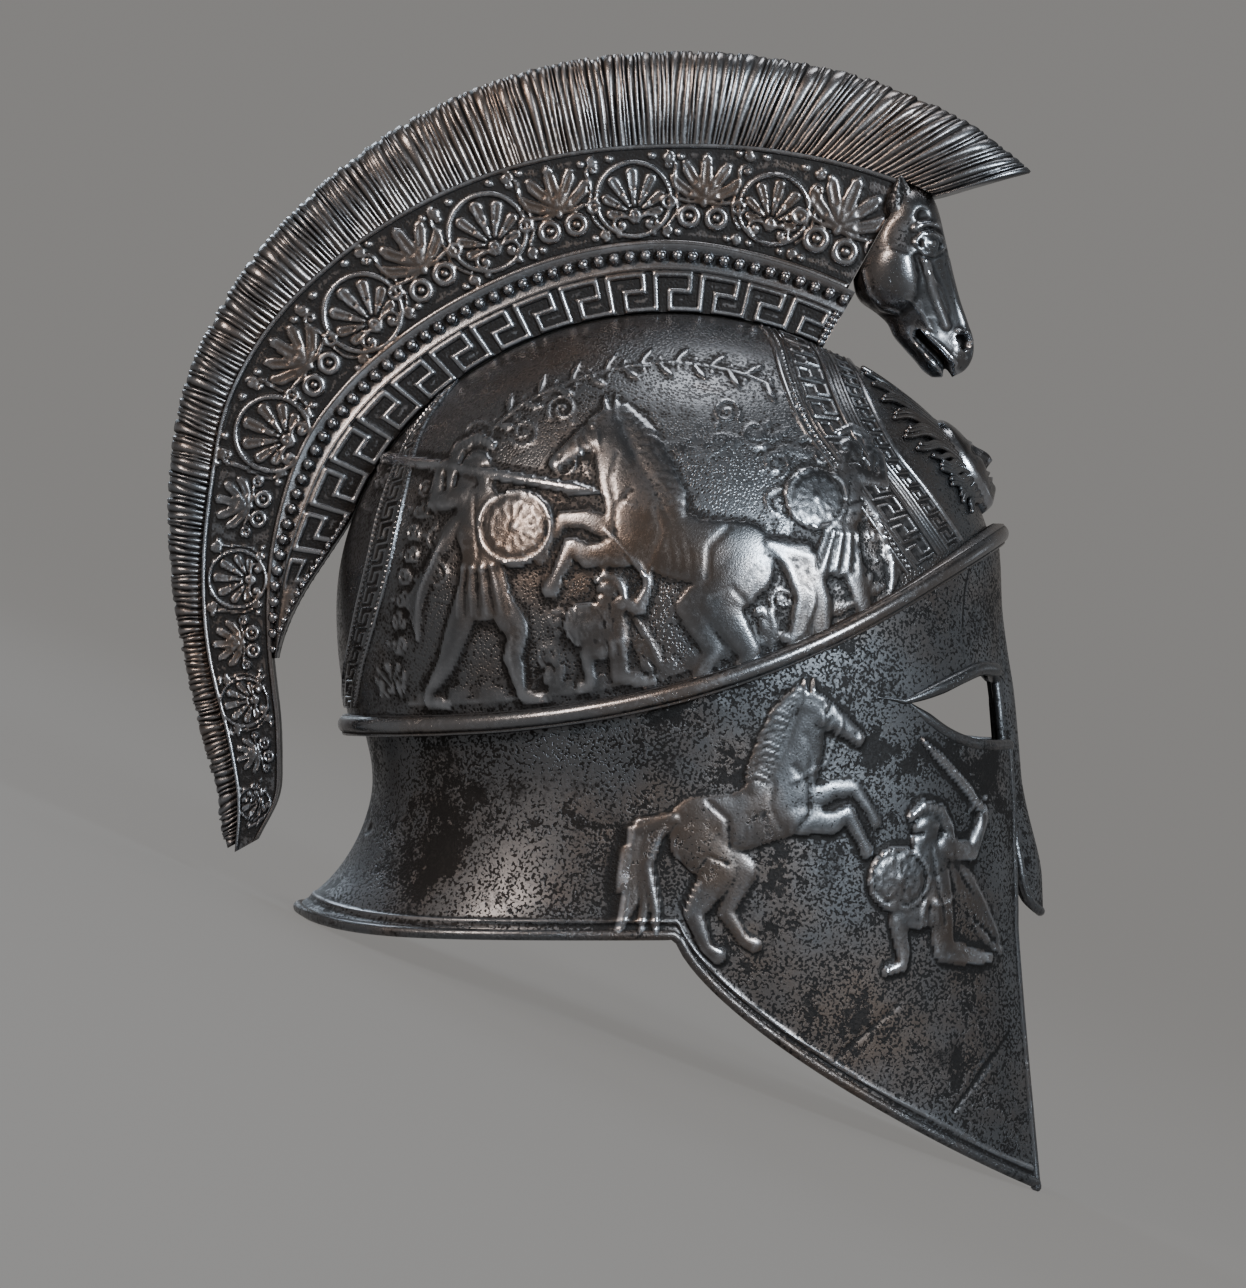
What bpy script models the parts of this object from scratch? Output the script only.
"""A crested helmet of dark cast steel, in metres, +Z up, set down on its cheek points and neck rim.

The helmet's own frame has +X to its front, +Y to its left side and its origin at the middle of the skull.
An empty turns and lifts that frame, so that the helmet rests on the floor as it would by itself.
"""

import math

import bmesh
import bpy
from mathutils import Matrix, Vector

# Walls and gaps
WALL = 0.002
GAP = 0.0003
ROLL_RADIUS = 0.0021
FLOOR_FLAT = 0.0006
SKIN = 0.0004
TRIM = 0.004

# Skull
SKULL_HALF_LENGTH = 0.116
SKULL_HALF_WIDTH = 0.090
SKULL_HEIGHT = 0.1036
SKULL_DEPTH = 0.140
SKULL_SIDES = 36
SKULL_RINGS = 7

# Seam between skull and face guard, as heights above the middle of the skull
SEAM_REAR = -0.040
SEAM_FRONT = 0.0273
SEAM_BEND = 2.6
SEAM_SPREAD = 0.113

# Moulding over the seam
MOULDING_HEIGHT = 0.0072
MOULDING_DEPTH = 0.0028
MOULDING_SIDES = 40
MOULDING_PROFILE = (
    # height share, depth share
    (-0.50, 0.00),
    (-0.50, 0.55),
    (-0.28, 1.00),
    (0.02, 0.85),
    (0.12, 0.35),
    (0.30, 0.60),
    (0.50, 0.30),
    (0.50, 0.00),
)

# Face guard
GUARD_DEPTH = 0.1997
RIM_REAR = -0.1033
RIM_SIDE = -0.1095
RIM_SWEEP = 8
CORNER_X = 0.003
CHEEK_TIP_X = 0.1308
CHEEK_CURVE = 0.70
SLIT_HALF_WIDTH = 0.022
GUARD_COLUMNS = 20
GUARD_ROWS = 9
GUARD_SECTIONS = (
    # height share of GUARD_DEPTH, front and rear shares of SKULL_HALF_LENGTH, cheek and nape shares of SKULL_HALF_WIDTH
    (0.20, 0.985, 0.960, 0.945, 0.945),
    (0.08, 1.002, 0.960, 0.962, 0.962),
    (0.00, 1.008, 0.957, 0.968, 0.968),
    (-0.07, 1.024, 0.950, 0.965, 0.966),
    (-0.14, 1.043, 0.938, 0.958, 0.960),
    (-0.21, 1.055, 0.915, 0.945, 0.945),
    (-0.275, 1.064, 0.893, 0.935, 0.930),
    (-0.33, 1.071, 0.897, 0.930, 0.932),
    (-0.40, 1.073, 0.938, 0.922, 0.945),
    (-0.465, 1.078, 1.013, 0.912, 0.965),
    (-0.515, 1.081, 1.115, 0.902, 0.990),
    (-0.56, 1.083, 1.240, 0.892, 1.012),
    (-0.75, 1.116, 1.400, 0.840, 1.060),
    (-1.05, 1.180, 1.600, 0.745, 1.120),
)

# Nose guard
NASAL_HALF_WIDTH = 0.012
NASAL_DROP = 0.1055
NASAL_KEEL = 0.0045
NASAL_LIFT = 0.0058
NASAL_TIP_FLARE = 0.0012

# Eye openings, seen from the side: shares of the eye's length and height, from its outer corner
EYE_CORNER_X = 0.0800
EYE_CORNER_Z = -0.0312
EYE_LENGTH = 0.0375
EYE_HEIGHT = 0.0262
EYE_UPPER = ((0.00, 0.00), (0.30, 0.16), (0.56, 0.33), (0.72, 0.415), (0.86, 0.40), (0.97, 0.22), (1.05, -0.10))
EYE_LOWER = ((0.00, 0.00), (0.19, -0.22), (0.40, -0.43), (0.62, -0.56), (0.84, -0.60), (1.16, -0.60))

# Crest, in polar sections about the middle of the skull
CREST_FOOT = 0.1275
KEY_BAND_TOP = 0.1190
FRIEZE_DEPTH = 0.0345
MANE_DEPTH = 0.033
BASE_HALF_THICKNESS = 0.011
CHANNEL_HALF_THICKNESS = 0.009
FRIEZE_HALF_THICKNESS = 0.009
FRIEZE_RIM_WIDTH = 0.0022
FRIEZE_RIM_RISE = 0.0010
MANE_HALF_THICKNESS = 0.0098
MANE_RIB_DEPTH = 0.0016
CREST_STEP = 4.0
LOCKS_A_STEP = 1
FOOT_ANGLE = 59.5
HEAD_ANGLE = 60.8
STRUT_ANGLE = 168.0
STRUT_END_ANGLE = 187.0
MANE_FRONT_ANGLE = 57.0
MANE_LEAN = 6.6
TAIL_ANGLE = 209.2
CREST_SECTIONS = (
    # degrees from the front, foot share of CREST_FOOT, frieze share of FRIEZE_DEPTH, mane share of MANE_DEPTH
    (50.0, 1.012, 1.280, 0.780),
    (58.0, 1.010, 1.238, 0.870),
    (65.0, 1.002, 1.190, 0.930),
    (75.0, 0.996, 1.110, 0.970),
    (90.0, 1.002, 1.000, 1.000),
    (105.0, 1.004, 1.029, 0.950),
    (120.0, 1.014, 1.064, 0.833),
    (135.0, 1.042, 1.050, 0.667),
    (145.0, 1.069, 1.006, 0.560),
    (155.0, 1.089, 0.905, 0.500),
    (165.0, 1.090, 0.770, 0.460),
    (175.0, 1.090, 0.700, 0.358),
    (185.0, 1.090, 0.650, 0.280),
    (195.0, 1.104, 0.554, 0.280),
    (202.0, 1.145, 0.478, 0.248),
    (206.0, 1.194, 0.430, 0.215),
    (209.5, 1.300, 0.230, 0.080),
)

# Ornament on the crest
BEAD_RADIUS = 0.0027
ROSETTE_PITCH = 0.0275
ROSETTE_RISE = 0.0012

# Horse head: level sections from poll to lips
HEAD_TOP = 0.1490
HEAD_HEIGHT = 0.0675
HEAD_MIDDLE = 0.0870
HEAD_LENGTH = 0.0200
HEAD_HALF_THICKNESS = 0.0150
HEAD_SECTIONS = (
    # depth share of HEAD_HEIGHT, back and front shares of HEAD_LENGTH, share of HEAD_HALF_THICKNESS
    (0.00, -0.30, 0.10, 0.45),
    (0.10, -0.60, 0.32, 0.80),
    (0.26, -0.95, 0.48, 1.00),
    (0.45, -1.10, 0.62, 1.00),
    (0.61, -1.02, 0.76, 0.90),
    (0.70, -0.55, 0.88, 0.66),
    (0.79, -0.38, 1.00, 0.58),
    (0.88, -0.12, 1.00, 0.58),
    (0.96, 0.06, 0.86, 0.46),
    (1.00, 0.24, 0.66, 0.26),
)
EAR_LENGTH = 0.013
EAR_RADIUS = 0.0040

# Mask on the brow
MASK_HEIGHT = 0.0500
MASK_HALF_LENGTH = 0.0185
MASK_HALF_WIDTH = 0.0145
MASK_RISE = 0.0085
NOSE_RISE = 0.0115
LOCK_RADIUS = 0.0026

# Reliefs, drawn from the side in shares of the half length and height of the skull
FIGURE_RISE = 0.0022
SKULL_FIGURES = (
    # place along, place up, half length, half width, turn in degrees
    # rearing horse: barrel, rump, neck, head, fore leg, hind leg, tail
    (0.05, 0.18, 0.22, 0.105, 155),
    (0.21, 0.08, 0.14, 0.110, 130),
    (-0.15, 0.40, 0.18, 0.075, 118),
    (-0.30, 0.53, 0.12, 0.050, 37),
    (-0.28, 0.17, 0.14, 0.038, 30),
    (0.28, -0.04, 0.13, 0.045, 100),
    (0.39, 0.04, 0.12, 0.038, 120),
    # striding warrior: helmet, trunk, front leg, rear leg, round shield
    (-0.46, 0.49, 0.08, 0.065, 90),
    (-0.47, 0.26, 0.16, 0.080, 90),
    (-0.41, -0.04, 0.19, 0.048, 97),
    (-0.56, -0.06, 0.19, 0.045, 65),
    (-0.61, 0.27, 0.13, 0.130, 0),
    # warrior behind the horse: helmet, trunk
    (0.38, 0.56, 0.07, 0.060, 90),
    (0.40, 0.36, 0.14, 0.075, 95),
)
CHEEK_FIGURES = (
    # rearing horse: barrel, rump, neck, head, fore leg, hind leg
    (0.26, -0.69, 0.22, 0.095, 35),
    (0.12, -0.81, 0.13, 0.110, 60),
    (0.46, -0.45, 0.17, 0.064, 62),
    (0.60, -0.33, 0.10, 0.043, -30),
    (0.54, -0.61, 0.14, 0.034, 165),
    (0.15, -0.97, 0.12, 0.040, 95),
    # kneeling warrior: helmet, trunk, leg, round shield
    (0.76, -0.72, 0.06, 0.050, 90),
    (0.79, -0.90, 0.13, 0.060, 100),
    (0.82, -1.12, 0.13, 0.038, 75),
    (0.65, -0.93, 0.10, 0.100, 0),
)

STEEL = (0.085, 0.082, 0.080, 1.0)
STEEL_ROUGHNESS = 0.38
STEEL_METALLIC = 0.95


def clear_scene():
    for found in list(bpy.data.objects):
        bpy.data.objects.remove(found, do_unlink=True)


def new_collection(name, hidden=False):
    made = bpy.data.collections.new(name)
    made.hide_render = hidden
    bpy.context.scene.collection.children.link(made)
    return made


def new_material(name, shade):
    made = bpy.data.materials.new(name)
    made.use_nodes = True
    surface = made.node_tree.nodes["Principled BSDF"]
    surface.inputs["Base Color"].default_value = [*(shade * c for c in STEEL[:3]), 1.0]
    surface.inputs["Roughness"].default_value = STEEL_ROUGHNESS
    surface.inputs["Metallic"].default_value = STEEL_METALLIC
    return made


def smooth_step(low, high, value):
    share = min(1.0, max(0.0, (value - low) / (high - low)))
    return share * share * (3.0 - 2.0 * share)


def table_value(table, column, at):
    """A smooth curve through one column of a table whose first column rises or falls steadily."""
    rows = table if table[0][0] < table[-1][0] else tuple(reversed(table))
    last = len(rows) - 1
    below = max(i for i in range(last) if i == 0 or rows[i][0] <= at)
    before, after = max(below - 1, 0), min(below + 2, last)
    x0, x1 = rows[below][0], rows[below + 1][0]
    y0, y1 = rows[below][column], rows[below + 1][column]
    slope0 = (y1 - rows[before][column]) / (x1 - rows[before][0])
    slope1 = (rows[after][column] - y0) / (rows[after][0] - x0)
    width = x1 - x0
    t = min(1.0, max(0.0, (at - x0) / width))
    return (
        y0 * (1 + 2 * t) * (1 - t) ** 2
        + slope0 * width * t * (1 - t) ** 2
        + y1 * t * t * (3 - 2 * t)
        + slope1 * width * t * t * (t - 1)
    )


def seam_height(x):
    """Height of the seam where the helmet is x in front of its middle."""
    along = min(1.0, max(0.0, (x + SEAM_SPREAD) / (2.0 * SEAM_SPREAD)))
    return SEAM_REAR + (SEAM_FRONT - SEAM_REAR) * along**SEAM_BEND


def skull_share(z):
    """Size of the skull's level section at height z, as a share of its widest."""
    reach = SKULL_HEIGHT if z > 0.0 else SKULL_DEPTH
    return math.sqrt(max(0.0, 1.0 - (z / reach) ** 2))


def skull_surface(azimuth, z, outward=0.0):
    share = skull_share(z)
    return Vector(
        (
            (SKULL_HALF_LENGTH * share + outward) * math.cos(azimuth),
            (SKULL_HALF_WIDTH * share + outward) * math.sin(azimuth),
            z,
        )
    )


def skull_seam(azimuth):
    """Height at which the skull's wall meets the seam in this direction."""
    z = SEAM_REAR
    for _ in range(40):
        z = 0.5 * (z + seam_height(skull_surface(azimuth, z).x))
    return z


def skull_grid_point(azimuth, rise, outward=0.0):
    """Point of the skull a share rise of the way up from its lower edge to its crown."""
    bottom = skull_seam(azimuth) - TRIM
    low = math.asin(bottom / (SKULL_HEIGHT if bottom > 0.0 else SKULL_DEPTH))
    lift = low + (math.pi / 2.0 - low) * rise
    reach = SKULL_HEIGHT if lift > 0.0 else SKULL_DEPTH
    point = skull_surface(azimuth, reach * math.sin(lift))
    normal = Vector((point.x / SKULL_HALF_LENGTH**2, point.y / SKULL_HALF_WIDTH**2, point.z / reach**2))
    return point + normal.normalized() * outward


def guard_axes(azimuth, z):
    """Reach of the face guard's outer surface ahead or behind, and to the side, in this direction and height."""
    level = z / GUARD_DEPTH
    ahead = math.cos(azimuth) > 0.0
    long_axis = SKULL_HALF_LENGTH * table_value(GUARD_SECTIONS, 1 if ahead else 2, level)
    cheek = table_value(GUARD_SECTIONS, 3, level)
    nape = table_value(GUARD_SECTIONS, 4, level)
    blend = smooth_step(math.radians(75.0), math.radians(125.0), azimuth)
    return long_axis, SKULL_HALF_WIDTH * (cheek + (nape - cheek) * blend)


def nasal_push(y, z):
    """How far the nose guard stands ahead of the plain front, below zero at its sides."""
    inside = 1.0 - smooth_step(NASAL_HALF_WIDTH * 1.15, SLIT_HALF_WIDTH, abs(y))
    keel = NASAL_KEEL * smooth_step(0.004, -0.024, z) * (y / NASAL_HALF_WIDTH) ** 2
    lift = NASAL_LIFT * smooth_step(-0.55 * NASAL_DROP, -0.89 * NASAL_DROP, z)
    return inside * (lift - keel)


def guard_surface(azimuth, z, outward=0.0):
    """Point of the face guard's outer surface, azimuth 0 ahead and pi behind."""
    long_axis, side_axis = guard_axes(azimuth, z)
    x = (long_axis + outward) * math.cos(azimuth)
    y = (side_axis + outward) * math.sin(azimuth)
    return Vector((x + (nasal_push(y, z) if x > 0.0 else 0.0), y, z))


def guard_from_side(x, z, outward=0.0):
    """Point of the guard's surface that is seen at x, z from the helmet's left."""
    low, high = 0.0, math.pi
    for _ in range(40):
        middle = 0.5 * (low + high)
        if guard_surface(middle, z, outward).x > x:
            low = middle
        else:
            high = middle
    return guard_surface(0.5 * (low + high), z, outward)


def guard_from_front(y, z, outward=0.0):
    """Point of the guard's front that is seen at y, z from ahead."""
    side_axis = guard_axes(0.0, z)[1] + outward
    return guard_surface(math.asin(min(1.0, y / side_axis)), z, outward)


def lower_edge_height(x):
    """Height of the guard's lower edge: neck rim behind the corner, cheek ahead of it."""
    if x <= CORNER_X:
        back = min(1.0, (CORNER_X - x) / (1.15 * SKULL_HALF_LENGTH))
        return RIM_SIDE + (RIM_REAR - RIM_SIDE) * back**RIM_SWEEP
    along = min(1.0, (x - CORNER_X) / (CHEEK_TIP_X - CORNER_X))
    return RIM_SIDE - (GUARD_DEPTH + RIM_SIDE) * along**CHEEK_CURVE


def guard_lower_edge(azimuth):
    z = RIM_SIDE
    for _ in range(60):
        z = 0.6 * z + 0.4 * lower_edge_height(guard_surface(azimuth, z).x)
    return z


def guard_upper_edge(azimuth):
    z = SEAM_REAR
    for _ in range(40):
        z = 0.5 * (z + seam_height(guard_surface(azimuth, z).x))
    return z + TRIM


def mesh_object(name, points, faces, collection, material=None):
    mesh = bpy.data.meshes.new(name)
    mesh.from_pydata([tuple(p) for p in points], [], faces)
    made = bpy.data.objects.new(name, mesh)
    collection.objects.link(made)
    if material:
        mesh.materials.append(material)
    return made


def loft_object(name, sections, collection, material=None, ring=False):
    """A solid through closed sections of as many points each, capped at its ends or joined in a ring."""
    count, sides = len(sections), len(sections[0])
    points = [p for section in sections for p in section]
    faces = []
    for i in range(count if ring else count - 1):
        here, there = i * sides, ((i + 1) % count) * sides
        for k in range(sides):
            step = (k + 1) % sides
            faces.append((here + k, here + step, there + step, there + k))
    if not ring:
        faces.append(tuple(reversed(range(sides))))
        faces.append(tuple((count - 1) * sides + k for k in range(sides)))
    made = mesh_object(name, points, faces, collection, material)
    face_outwards(made)
    return made


def face_outwards(made):
    work = bmesh.new()
    work.from_mesh(made.data)
    bmesh.ops.recalc_face_normals(work, faces=work.faces)
    work.to_mesh(made.data)
    work.free()


def frozen(made):
    """Replaces an object's mesh by what its modifiers make of it, or a curve by its mesh with welded caps."""
    bpy.context.view_layer.update()
    graph = bpy.context.evaluated_depsgraph_get()
    mesh = bpy.data.meshes.new_from_object(made.evaluated_get(graph), depsgraph=graph)
    work = bmesh.new()
    work.from_mesh(mesh)
    bmesh.ops.remove_doubles(work, verts=work.verts, dist=1e-6)
    bmesh.ops.recalc_face_normals(work, faces=work.faces)
    work.to_mesh(mesh)
    work.free()
    if made.type == "MESH":
        made.modifiers.clear()
        made.data = mesh
        return made
    name, collection, place = made.name, made.users_collection[0], made.matrix_world.copy()
    bpy.data.objects.remove(made)
    solid = bpy.data.objects.new(name, mesh)
    collection.objects.link(solid)
    solid.matrix_world = place
    return solid


def tube(name, path, radius, collection, sides_setting=0):
    """A round bar along a path, as a closed mesh."""
    curve = bpy.data.curves.new(name, "CURVE")
    curve.dimensions = "3D"
    spline = curve.splines.new("POLY")
    spline.points.add(len(path) - 1)
    for point, place in zip(spline.points, path):
        point.co = (*place, 1.0)
    curve.bevel_depth = radius
    curve.bevel_resolution = sides_setting
    curve.use_fill_caps = True
    made = bpy.data.objects.new(name, curve)
    collection.objects.link(made)
    return frozen(made)


def join_with(made, others, operation="UNION"):
    """Cuts or joins an object by a group of closed helpers, which then go."""
    helpers = new_collection(made.name + "_helpers", hidden=True)
    for other in others:
        for owner in list(other.users_collection):
            owner.objects.unlink(other)
        helpers.objects.link(other)
        other.hide_render = True
        other.display_type = "WIRE"
    boolean = made.modifiers.new(operation.lower(), "BOOLEAN")
    boolean.operation = operation
    boolean.operand_type = "COLLECTION"
    boolean.collection = helpers
    boolean.solver = "EXACT"
    boolean.use_self = True
    frozen(made)
    for other in list(helpers.objects):
        bpy.data.objects.remove(other)
    bpy.data.collections.remove(helpers)
    return made


def prism(name, outline, along, low, high, collection):
    """A prism over an outline: along Y over (x, z) points, or along X over (y, z) points."""
    def place(pair, depth):
        return (pair[0], depth, pair[1]) if along == "Y" else (depth, pair[0], pair[1])

    sections = [[place(pair, low) for pair in outline], [place(pair, high) for pair in outline]]
    return loft_object(name, sections, collection)


def ball(name, centre, axes, sizes, collection, segments=8, rings=5):
    """An ellipsoid with its own axes, three unit vectors, and three half sizes."""
    mesh = bpy.data.meshes.new(name)
    work = bmesh.new()
    bmesh.ops.create_uvsphere(work, u_segments=segments, v_segments=rings, radius=1.0)
    turn = Matrix([axis * size for axis, size in zip(axes, sizes)]).transposed()
    bmesh.ops.transform(work, matrix=turn.to_4x4(), verts=work.verts)
    bmesh.ops.translate(work, vec=centre, verts=work.verts)
    bmesh.ops.recalc_face_normals(work, faces=work.faces)
    work.to_mesh(mesh)
    work.free()
    made = bpy.data.objects.new(name, mesh)
    collection.objects.link(made)
    return made


def lifted(point_at, x, z, lift):
    """Point over a surface that is given as a function of its place seen from the side."""
    step = 0.0005
    centre = point_at(x, z)
    normal = (point_at(x + step, z) - centre).cross(point_at(x, z + step) - centre).normalized()
    return centre + normal * math.copysign(lift, lift * normal.y)


def relief(name, rows, point_at, collection):
    """Raised figures of flat-topped pillows that follow a surface, one for each row of a table, on both sides."""
    made = []
    for number, (along, up, half_length, half_width, turn) in enumerate(rows):
        sides = 8 if half_width > 0.3 * half_length else 6
        cosine, sine = math.cos(math.radians(turn)), math.sin(math.radians(turn))
        sections = []
        for scale, lift in ((1.0, -0.7 * WALL), (0.62, FIGURE_RISE)):
            section = []
            for k in range(sides):
                angle = 2.0 * math.pi * (k + 0.5) / sides
                u = scale * half_length * SKULL_HEIGHT * math.cos(angle)
                v = scale * half_width * SKULL_HEIGHT * math.sin(angle)
                x = along * SKULL_HALF_LENGTH + u * cosine - v * sine
                z = up * SKULL_HEIGHT + u * sine + v * cosine
                section.append(lifted(point_at, x, z, lift))
            sections.append(section)
        made.append(loft_object(f"{name}_{number}_left", sections, collection))
        mirrored = [[mirrored_point(p) for p in section] for section in sections]
        made.append(loft_object(f"{name}_{number}_right", mirrored, collection))
    return made


def skull_from_side(x, z):
    share = skull_share(z)
    across = 1.0 - (x / (SKULL_HALF_LENGTH * share)) ** 2
    return Vector((x, SKULL_HALF_WIDTH * share * math.sqrt(max(0.0, across)), z))


def build_skull(collection, helpers, steel):
    """The bowl: a globe pulled to the skull's shape, open below the seam, with figures cast on its sides."""
    work = bmesh.new()
    bmesh.ops.create_uvsphere(work, u_segments=SKULL_SIDES, v_segments=2 * SKULL_RINGS, radius=1.0)
    below = [v for v in work.verts if v.co.z < -1e-4]
    bmesh.ops.delete(work, geom=below, context="VERTS")
    for vertex in work.verts:
        azimuth = math.atan2(vertex.co.y, vertex.co.x)
        rise = math.asin(min(1.0, max(0.0, vertex.co.z))) / (math.pi / 2.0)
        vertex.co = skull_grid_point(azimuth, rise)
    mesh = bpy.data.meshes.new("skull_bowl")
    work.to_mesh(mesh)
    work.free()
    mesh.materials.append(steel)
    made = bpy.data.objects.new("skull_bowl", mesh)
    collection.objects.link(made)
    add_wall(made)
    frozen(made)
    join_with(made, [seam_cutter("below_seam", GAP / 2.0, -1.0, helpers)], "DIFFERENCE")
    return join_with(made, relief("skull_figure", SKULL_FIGURES, skull_from_side, helpers))


def seam_cutter(name, lift, way, helpers):
    """Everything on one side of the seam, above it for a way of 1 and below it for -1."""
    steps = 28
    xs = [1.4 * SKULL_HALF_LENGTH * (2.0 * i / steps - 1.0) for i in range(steps + 1)]
    outline = [(x, seam_height(x) + lift) for x in xs]
    far = way * 2.0 * SKULL_HEIGHT
    outline += [(xs[-1], far), (xs[0], far)]
    return prism(name, outline, "Y", -2.0 * SKULL_HALF_WIDTH, 2.0 * SKULL_HALF_WIDTH, helpers)


def add_wall(made):
    wall = made.modifiers.new("wall", "SOLIDIFY")
    wall.thickness = WALL
    wall.offset = -1.0
    wall.use_even_offset = True


def build_moulding(collection, steel):
    """The double moulding that covers the seam all round."""
    sections = []
    for i in range(MOULDING_SIDES):
        azimuth = 2.0 * math.pi * i / MOULDING_SIDES
        z = skull_seam(azimuth)
        folded = abs(math.atan2(math.sin(azimuth), math.cos(azimuth)))
        half = MOULDING_HEIGHT / 2.0
        reach = max(
            skull_surface(azimuth, z + half).xy.length,
            skull_surface(azimuth, z).xy.length,
            guard_surface(folded, z - half).xy.length,
        )
        outward = skull_surface(azimuth, z).xy.normalized()
        inner = reach + GAP + SKIN
        section = []
        for height, depth in MOULDING_PROFILE:
            level = outward * (inner + depth * MOULDING_DEPTH)
            section.append(Vector((level.x, level.y, z + height * MOULDING_HEIGHT)))
        sections.append(section)
    return loft_object("seam_moulding", sections, collection, steel, ring=True)


def guard_half_wall(collection, steel):
    """Left half of the guard's outer surface, from its middle plane ahead to its middle plane behind."""
    points, faces = [], []
    for i in range(GUARD_COLUMNS + 1):
        azimuth = math.pi * (i / GUARD_COLUMNS) ** 1.12
        top, bottom = guard_upper_edge(azimuth), guard_lower_edge(azimuth)
        for j in range(GUARD_ROWS + 1):
            point = guard_surface(azimuth, top + (bottom - top) * j / GUARD_ROWS)
            if i in (0, GUARD_COLUMNS):
                point.y = 0.0
            points.append(point)
    row = GUARD_ROWS + 1
    for i in range(GUARD_COLUMNS):
        for j in range(GUARD_ROWS):
            here = i * row + j
            faces.append((here, here + 1, here + row + 1, here + row))
    made = mesh_object("face_guard", points, faces, collection, steel)
    mirror = made.modifiers.new("other_side", "MIRROR")
    mirror.use_axis = (False, True, False)
    mirror.merge_threshold = 0.0001
    frozen(made)
    add_wall(made)
    return frozen(made)


def eye_outline(edge):
    return [(EYE_CORNER_X + u * EYE_LENGTH, EYE_CORNER_Z + v * EYE_HEIGHT) for u, v in edge]


def opening_cutters(helpers):
    """What opens the eyes, and the slit round and below the nose guard."""
    reach = SKULL_HALF_LENGTH * 1.5
    upper, lower = eye_outline(EYE_UPPER), eye_outline(EYE_LOWER)
    ahead = [(reach, lower[-1][1]), (reach, upper[-1][1])]
    outline = upper + list(reversed(ahead)) + list(reversed(lower[1:]))
    cutters = [
        prism("left_eye", outline, "Y", NASAL_HALF_WIDTH, SKULL_HALF_WIDTH * 1.2, helpers),
        prism("right_eye", outline, "Y", -SKULL_HALF_WIDTH * 1.2, -NASAL_HALF_WIDTH, helpers),
    ]
    deep = -GUARD_DEPTH * 1.2
    tip = nasal_edge()
    slit = [(SLIT_HALF_WIDTH, deep), (SLIT_HALF_WIDTH, EYE_CORNER_Z - 0.2 * EYE_HEIGHT)]
    slit += [(NASAL_HALF_WIDTH, EYE_CORNER_Z - 0.2 * EYE_HEIGHT)] + tip[1:]
    mirrored = [(-y, z) for y, z in reversed(slit) if y > 1e-6]
    cutters.append(prism("slit", slit + mirrored, "X", SKULL_HALF_LENGTH * 0.7, reach, helpers))
    return cutters


def nasal_edge():
    """The nose guard's left edge from its root to the middle of its tip, seen from ahead."""
    wide = NASAL_HALF_WIDTH + NASAL_TIP_FLARE
    return [
        (NASAL_HALF_WIDTH, EYE_CORNER_Z + 0.30 * EYE_HEIGHT),
        (NASAL_HALF_WIDTH, -0.60 * NASAL_DROP),
        (wide, -0.86 * NASAL_DROP),
        (wide * 0.80, -0.955 * NASAL_DROP),
        (wide * 0.42, -0.99 * NASAL_DROP),
        (0.0, -NASAL_DROP),
    ]


def mirrored_point(point):
    return Vector((point[0], -point[1], point[2]))


def edge_paths():
    """Middle lines of the rolled edges: each one's name and points, the ones off the middle plane for one side."""
    inward = -WALL / 2.0
    steps = GUARD_COLUMNS
    rim = []
    for i in range(steps + 1):
        azimuth = math.pi * (1.0 - i / steps)
        point = guard_surface(azimuth, guard_lower_edge(azimuth), inward)
        if point.x > 0.0 and point.y < SLIT_HALF_WIDTH:
            break
        rim.append(point)
    tip_height = lower_edge_height(CHEEK_TIP_X)
    rim.append(guard_from_front(SLIT_HALF_WIDTH, tip_height, inward))
    around = [mirrored_point(p) for p in reversed(rim[1:])] + rim
    top = eye_outline(EYE_LOWER)[-1][1]
    front = [guard_from_front(SLIT_HALF_WIDTH, tip_height + (top - tip_height) * i / 6, inward) for i in range(7)]
    lower = [guard_from_side(x, z, inward) for x, z in eye_outline(EYE_LOWER)[:-1]] + [front[-1]]
    upper = [guard_from_side(x, z, inward) for x, z in eye_outline(EYE_UPPER)[:-2]]
    nasal = [guard_from_front(y, z, inward) for y, z in nasal_edge()]
    nasal_root = [upper[-1].lerp(nasal[0], 0.5)] + nasal
    nasal_loop = nasal_root + [mirrored_point(p) for p in reversed(nasal_root[:-1])]
    return {"neck_rim": around, "nasal_rim": nasal_loop}, {
        "front_rim": front,
        "eye_lower_rim": lower,
        "eye_upper_rim": upper + [nasal[0]],
    }


def rolled_edges(helpers):
    whole, sided = edge_paths()
    made = [tube(name, path, ROLL_RADIUS, helpers) for name, path in whole.items()]
    for name, path in sided.items():
        made.append(tube(name + "_left", path, ROLL_RADIUS, helpers))
        made.append(tube(name + "_right", [mirrored_point(p) for p in path], ROLL_RADIUS, helpers))
    return made


def build_face_guard(collection, helpers, steel):
    """Nape, cheeks, brow and nose guard in one wall, with the edges rolled and figures cast on the cheeks."""
    made = guard_half_wall(collection, steel)
    join_with(made, [seam_cutter("above_seam", -GAP / 2.0, 1.0, helpers)], "DIFFERENCE")
    join_with(made, opening_cutters(helpers), "DIFFERENCE")
    join_with(made, rolled_edges(helpers))
    return join_with(made, relief("cheek_figure", CHEEK_FIGURES, guard_from_side, helpers))


def polar(angle, radius, y=0.0):
    """Point in the crest's plane, or y beside it."""
    return Vector((radius * math.cos(math.radians(angle)), y, radius * math.sin(math.radians(angle))))


def foot_radius(angle):
    return CREST_FOOT * table_value(CREST_SECTIONS, 1, angle)


def frieze_top(angle):
    return foot_radius(angle) + FRIEZE_DEPTH * table_value(CREST_SECTIONS, 2, angle)


def mane_top(angle):
    return frieze_top(angle) + MANE_DEPTH * table_value(CREST_SECTIONS, 3, angle)


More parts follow.
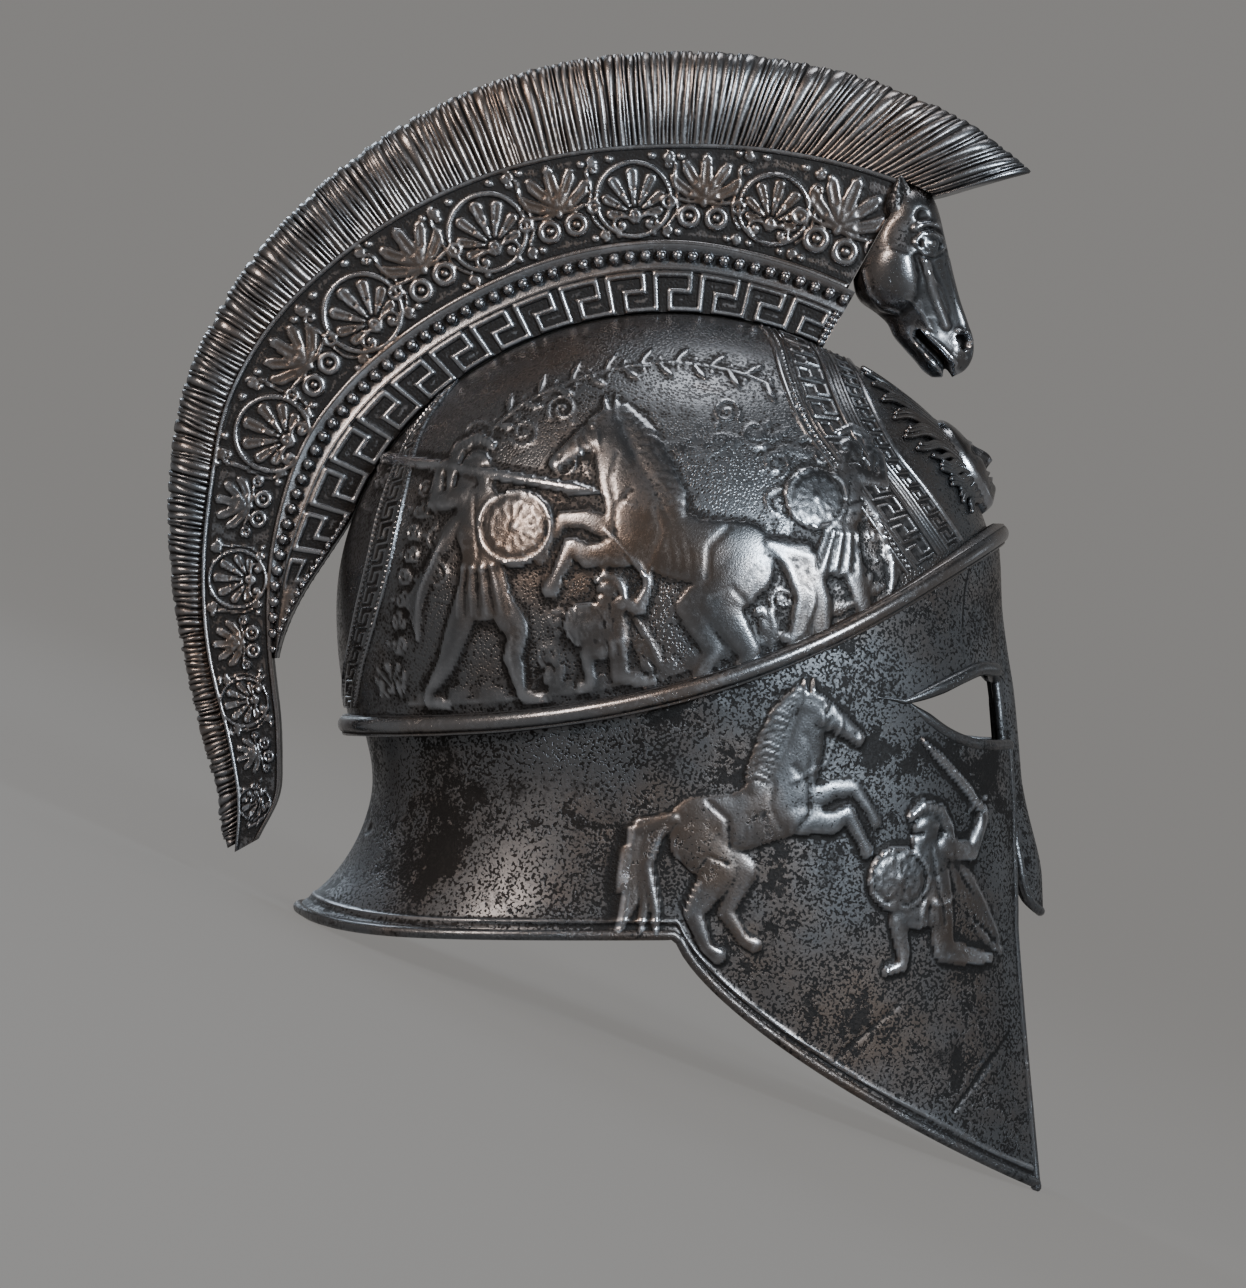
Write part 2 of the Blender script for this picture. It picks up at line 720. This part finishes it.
def crest_point(radius_at, angle, lift=0.0, y=0.0):
    """Point over an outline of the crest, whose corners all its pieces have at the same angles."""
    before = CREST_STEP * math.floor(angle / CREST_STEP)
    after = before + CREST_STEP
    first, second = (polar(corner, radius_at(corner) + lift, y) for corner in (before, after))
    return first.lerp(second, (angle - before) / CREST_STEP)


def crest_angles(start, end, parts=1):
    """The angles of an outline's corners between two ends, with so many parts between corners."""
    step = CREST_STEP / parts
    first = math.floor(start / step + 0.25) + 1
    inner = [step * i for i in range(first, int(end / step) + 1) if end - step * i > 0.25 * step]
    return [start, *inner, end]


def skull_profile(angle):
    """Distance of the skull's outer surface from its middle, in the middle plane."""
    c, s = math.cos(math.radians(angle)), math.sin(math.radians(angle))
    reach = SKULL_HEIGHT if s > 0.0 else SKULL_DEPTH
    return 1.0 / math.sqrt((c / SKULL_HALF_LENGTH) ** 2 + (s / reach) ** 2)


def base_bottom(angle):
    """Inner edge of the crest's base: on the skull, then along the strut to the frieze."""
    leave = smooth_step(STRUT_ANGLE - 6.0, STRUT_END_ANGLE + 5.0, angle)
    seat = skull_profile(min(angle, STRUT_ANGLE)) + GAP
    return seat + (foot_radius(angle) - seat) * leave


def key_top(angle):
    return foot_radius(angle) - (CREST_FOOT - KEY_BAND_TOP) * smooth_step(STRUT_END_ANGLE + 12.0, 150.0, angle)


def channel_bottom(angle):
    """Foot of the channel, between the base's inner edge and the frieze."""
    low, high = base_bottom(angle), foot_radius(angle) - GAP
    return min(max(key_top(angle), low + 2.0 * SKIN), high - 2.0 * SKIN)


def build_crest_base(collection, steel):
    """The saddle on the skull: a thick band for the key pattern and a thinner channel for the ridge of beads."""
    sections = []
    for angle in crest_angles(FOOT_ANGLE, STRUT_END_ANGLE):
        low = crest_point(base_bottom, angle, 0.0, BASE_HALF_THICKNESS)
        high = crest_point(foot_radius, angle, -GAP, CHANNEL_HALF_THICKNESS)
        middle = crest_point(channel_bottom, angle, 0.0, BASE_HALF_THICKNESS)
        inset = crest_point(channel_bottom, angle, SKIN, CHANNEL_HALF_THICKNESS)
        room = (high - inset).length
        ridge = min(BEAD_RADIUS, 0.4 * room)
        crown = inset.lerp(high, 0.5) + Vector((0.0, ridge, 0.0))
        feet = [inset.lerp(high, 0.5 - ridge / room), inset.lerp(high, 0.5 + ridge / room)]
        section = [low, middle, inset, feet[0], crown, feet[1], high]
        sections.append(section + [mirrored_point(p) for p in reversed(section)])
    return loft_object("crest_base", sections, collection, steel)


def build_frieze(collection, helpers, steel):
    """The band between two rims that carries the palmettes, down to the tip of the tail."""
    sections = []
    face, proud = FRIEZE_HALF_THICKNESS - FRIEZE_RIM_RISE, FRIEZE_HALF_THICKNESS
    for angle in crest_angles(HEAD_ANGLE, TAIL_ANGLE):
        rim = min(FRIEZE_RIM_WIDTH, (frieze_top(angle) - foot_radius(angle)) * 0.22)
        section = [crest_point(foot_radius, angle, lift, y) for lift, y in ((0.0, proud), (rim, proud), (rim * 1.3, face))]
        section += [crest_point(frieze_top, angle, -lift, y) for lift, y in ((rim * 1.3, face), (rim, proud), (0.0, proud))]
        sections.append(section + [mirrored_point(p) for p in reversed(section)])
    made = loft_object("crest_frieze", sections, collection, steel)
    return join_with(made, rosettes(helpers))


def boss(name, place, radius, rise, helpers):
    """A low round boss with its axis along Y, as far into its ground as it stands out."""
    mesh = bpy.data.meshes.new(name)
    work = bmesh.new()
    way = math.copysign(1.0, place.y)
    bmesh.ops.create_cone(work, cap_ends=True, segments=6, radius1=radius, radius2=radius * 0.8, depth=2.0 * rise)
    turn = Matrix.Rotation(math.radians(-90.0 * way), 4, "X")
    bmesh.ops.transform(work, matrix=Matrix.Translation(place) @ turn, verts=work.verts)
    work.to_mesh(mesh)
    work.free()
    made = bpy.data.objects.new(name, mesh)
    helpers.objects.link(made)
    return made


def rosettes(helpers):
    """A low boss for each palmette, a pitch apart along the frieze and as wide as the frieze allows."""
    made = []
    angle = HEAD_ANGLE + 8.0
    number = 0
    while angle < TAIL_ANGLE - 5.0:
        low, high = foot_radius(angle), frieze_top(angle)
        radius, half = 0.5 * (low + high), 0.36 * (high - low)
        for side in (1, -1):
            place = polar(angle, radius, side * (FRIEZE_HALF_THICKNESS - FRIEZE_RIM_RISE))
            made.append(boss(f"rosette_{number}_{side}", place, half, ROSETTE_RISE, helpers))
        angle += math.degrees(ROSETTE_PITCH * (high - low) / FRIEZE_DEPTH / radius)
        number += 1
    return made


def mane_lean(angle):
    """How many degrees a lock's tip lies ahead of its root."""
    return MANE_LEAN * smooth_step(MANE_FRONT_ANGLE + 36.0, MANE_FRONT_ANGLE, angle)


def build_mane(collection, steel):
    """The stiff mane, as locks side by side: each section is alternately the crest and the valley of a lock."""
    sections = []
    angles = crest_angles(MANE_FRONT_ANGLE, TAIL_ANGLE - 1.2, 2 * LOCKS_A_STEP)
    for i, angle in enumerate(angles):
        share = i / (len(angles) - 1)
        tip = angle - mane_lean(angle)
        depth = mane_top(tip) - frieze_top(angle)
        narrow = 1.0 - 0.45 * smooth_step(0.55, 1.0, share)
        half = MANE_HALF_THICKNESS * narrow - (MANE_RIB_DEPTH if i % 2 else 0.0)
        crown = mane_top(tip) - (MANE_RIB_DEPTH * 0.6 if i % 2 else 0.0)
        section = [
            crest_point(frieze_top, angle, GAP, half * 0.82),
            polar(angle - mane_lean(angle) * 0.93, mane_top(tip) - 0.22 * depth, half),
            polar(tip, crown, half * 0.55),
        ]
        sections.append(section + [mirrored_point(p) for p in reversed(section)])
    return loft_object("crest_mane", sections, collection, steel)


def head_point(depth, along, y):
    """Point of the horse's head: a share of its height below the poll, a share of its length ahead, y beside."""
    return Vector((HEAD_MIDDLE + along * HEAD_LENGTH, y, HEAD_TOP - depth * HEAD_HEIGHT))


def build_horse_head(collection, helpers, steel):
    """The horse's head that closes the crest in front, flat where it meets the frieze."""
    sides = 12
    sections = []
    for depth, back, front, thick in HEAD_SECTIONS:
        middle, half = 0.5 * (front + back), 0.5 * (front - back)
        section = []
        for k in range(sides):
            turn = 2.0 * math.pi * k / sides
            beside = HEAD_HALF_THICKNESS * thick * math.sin(turn)
            section.append(head_point(depth, middle + half * math.cos(turn), beside))
        sections.append(section)
    made = loft_object("horse_head", sections, collection, steel)
    details = []
    for side in (1, -1):
        details.append(ear(side, helpers))
        eye = head_point(0.33, 0.06, side * HEAD_HALF_THICKNESS * 0.84)
        axes = (Vector((1, 0, 0)), Vector((0, 1, 0)), Vector((0, 0, 1)))
        details.append(ball(f"horse_eye_{side}", eye, axes, (0.0036, 0.0024, 0.0030), helpers, 8, 5))
    join_with(made, details)
    return join_with(made, [frieze_clearance(helpers), mane_clearance(helpers)], "DIFFERENCE")


def ear(side, helpers):
    """One ear: a cone that stands on the poll, leaning a little outward."""
    mesh = bpy.data.meshes.new("ear")
    work = bmesh.new()
    bmesh.ops.create_cone(
        work, cap_ends=True, segments=8, radius1=EAR_RADIUS, radius2=EAR_RADIUS * 0.15, depth=EAR_LENGTH
    )
    root = head_point(0.02, -0.08, side * HEAD_HALF_THICKNESS * 0.62)
    lean = Matrix.Rotation(math.radians(-24.0 * side), 4, "X") @ Matrix.Rotation(math.radians(-6.0), 4, "Y")
    bmesh.ops.transform(work, matrix=Matrix.Translation(root) @ lean, verts=work.verts)
    work.to_mesh(mesh)
    work.free()
    made = bpy.data.objects.new(f"ear_{side}", mesh)
    helpers.objects.link(made)
    return made


def frieze_clearance(helpers):
    """Removes what would reach back past the frieze's front end."""
    edge = HEAD_ANGLE - math.degrees(GAP / CREST_FOOT)
    outline = [(edge, CREST_FOOT * 0.7), (edge, CREST_FOOT * 1.6)]
    outline = [(polar(a, r).x, polar(a, r).z) for a, r in outline]
    back = polar(edge + 90.0, CREST_FOOT * 0.5)
    outline += [(x + back.x, z + back.z) for x, z in reversed(outline)]
    return prism("frieze_clearance", outline, "Y", -0.05, 0.05, helpers)


def mane_clearance(helpers):
    """Removes what would reach up into the mane's root."""
    angles = crest_angles(MANE_FRONT_ANGLE - 8.0, HEAD_ANGLE + 8.0)
    inner = [crest_point(frieze_top, a) for a in angles]
    outer = [polar(a, frieze_top(a) * 1.3) for a in reversed(angles)]
    return prism("mane_clearance", [(p.x, p.z) for p in inner + outer], "Y", -0.05, 0.05, helpers)


def brow_point(height, y, lift=0.0):
    """Point over the skull's front at a height and a distance beside the middle, lifted off its surface."""
    share = skull_share(height)
    across = max(0.0, 1.0 - (y / (SKULL_HALF_WIDTH * share)) ** 2)
    point = Vector((SKULL_HALF_LENGTH * share * math.sqrt(across), y, height))
    reach = SKULL_HEIGHT if height > 0.0 else SKULL_DEPTH
    normal = Vector((point.x / SKULL_HALF_LENGTH**2, y / SKULL_HALF_WIDTH**2, height / reach**2)).normalized()
    return point + normal * lift


LOCKS = (
    # each lock's points: height share of MASK_HEIGHT and side share of MASK_HALF_WIDTH
    ((1.12, 0.15), (1.38, 0.50), (1.55, 1.00), (1.58, 1.50)),
    ((1.08, 0.35), (1.24, 1.00), (1.32, 1.65), (1.24, 2.15)),
    ((1.00, 0.45), (1.06, 1.30), (1.00, 2.00), (0.90, 2.40)),
    ((0.90, 0.45), (0.82, 1.25), (0.74, 1.90), (0.80, 2.35)),
    ((0.80, 0.35), (0.66, 0.95), (0.60, 1.50), (0.66, 1.90)),
)


def build_mask(collection, helpers, steel):
    """The calm mask on the brow with locks of hair to both sides, hollow behind to sit on the skull."""
    centre = brow_point(MASK_HEIGHT, 0.0)
    normal = (brow_point(MASK_HEIGHT, 0.0, 1.0) - centre).normalized()
    side = Vector((0.0, 1.0, 0.0))
    up = normal.cross(side) if normal.cross(side).z > 0.0 else side.cross(normal)
    made = ball("brow_mask", centre, (up, side, normal), (MASK_HALF_LENGTH, MASK_HALF_WIDTH, MASK_RISE), collection, 14, 9)
    made.data.materials.append(steel)
    nose = centre + normal * (NOSE_RISE - 0.0042) - up * 0.0015
    parts = [ball("nose", nose, (up, side, normal), (0.0052, 0.0021, 0.0042), helpers, 6, 5)]
    parts.append(ball("chin", centre + normal * 0.0045 - up * 0.0125, (up, side, normal), (0.0042, 0.005, 0.0042), helpers, 8, 5))
    for number, rows in enumerate(LOCKS):
        for way in (1, -1):
            path = [brow_point(h * MASK_HEIGHT, way * s * MASK_HALF_WIDTH, LOCK_RADIUS * 0.75) for h, s in rows]
            parts.append(tube(f"lock_{number}_{way}", path, LOCK_RADIUS, helpers))
    join_with(made, parts)
    return join_with(made, [skull_clearance(helpers)], "DIFFERENCE")


def skull_clearance(helpers):
    """The skull grown by the gap, to fit what sits on it."""
    work = bmesh.new()
    bmesh.ops.create_uvsphere(work, u_segments=SKULL_SIDES, v_segments=2 * SKULL_RINGS, radius=1.0)
    for vertex in work.verts:
        azimuth = math.atan2(vertex.co.y, vertex.co.x)
        rise = math.asin(min(1.0, max(-1.0, vertex.co.z))) / (math.pi / 2.0)
        vertex.co = skull_grid_point(azimuth, rise, GAP)
    mesh = bpy.data.meshes.new("skull_clearance")
    work.to_mesh(mesh)
    work.free()
    made = bpy.data.objects.new("skull_clearance", mesh)
    helpers.objects.link(made)
    return made


def corners(made, graph):
    """All of an object's points in the world, modifiers included."""
    seen = made.evaluated_get(graph)
    return [seen.matrix_world @ v.co for v in seen.data.vertices]


def resting_tilt(points):
    """Angle by which the helmet leans back so that both its cheek points and its neck rim touch the floor."""
    tip = min(points, key=lambda p: p.z)
    behind = [p for p in points if p.x < 0.0]
    return min(math.atan2(p.z - tip.z, tip.x - p.x) for p in behind)


def set_down(parts, guard, helpers):
    """Turns and lifts the whole helmet onto the floor, its box's bottom centre at the origin, and flattens its feet."""
    graph = bpy.context.evaluated_depsgraph_get()
    frame = bpy.data.objects.new("helmet_frame", None)
    parts[0].users_collection[0].objects.link(frame)
    frame.rotation_euler = (0.0, -resting_tilt(corners(guard, graph)), 0.0)
    for part in parts:
        part.parent = frame
    bpy.context.view_layer.update()
    graph = bpy.context.evaluated_depsgraph_get()
    points = [p for part in parts for p in corners(part, graph)]
    low = [min(p[axis] for p in points) for axis in range(3)]
    high = [max(p[axis] for p in points) for axis in range(3)]
    frame.location = (-0.5 * (low[0] + high[0]), 0.0, -low[2] - FLOOR_FLAT)
    bpy.context.view_layer.update()
    floor = [(-1.0, -0.1), (1.0, -0.1), (1.0, 0.0), (-1.0, 0.0)]
    cutter = prism("floor", floor, "Y", -1.0, 1.0, helpers)
    cutter.hide_render = True
    cutter.display_type = "WIRE"
    cut = guard.modifiers.new("feet", "BOOLEAN")
    cut.operation = "DIFFERENCE"
    cut.solver = "EXACT"
    cut.object = cutter


def shade(parts):
    for part in parts:
        part.data.shade_smooth()
        part.data.set_sharp_from_angle(angle=math.radians(35.0))


def main():
    clear_scene()
    collection = new_collection("crested_helmet")
    helpers = new_collection("cutters", hidden=True)
    plain, worn, dark = new_material("steel", 1.0), new_material("worn_steel", 1.25), new_material("dark_steel", 0.85)
    skull = build_skull(collection, helpers, plain)
    guard = build_face_guard(collection, helpers, dark)
    parts = [
        skull,
        guard,
        build_moulding(collection, worn),
        build_crest_base(collection, plain),
        build_frieze(collection, helpers, plain),
        build_mane(collection, dark),
        build_horse_head(collection, helpers, worn),
        build_mask(collection, helpers, worn),
    ]
    set_down(parts, guard, helpers)
    shade(parts)


main()
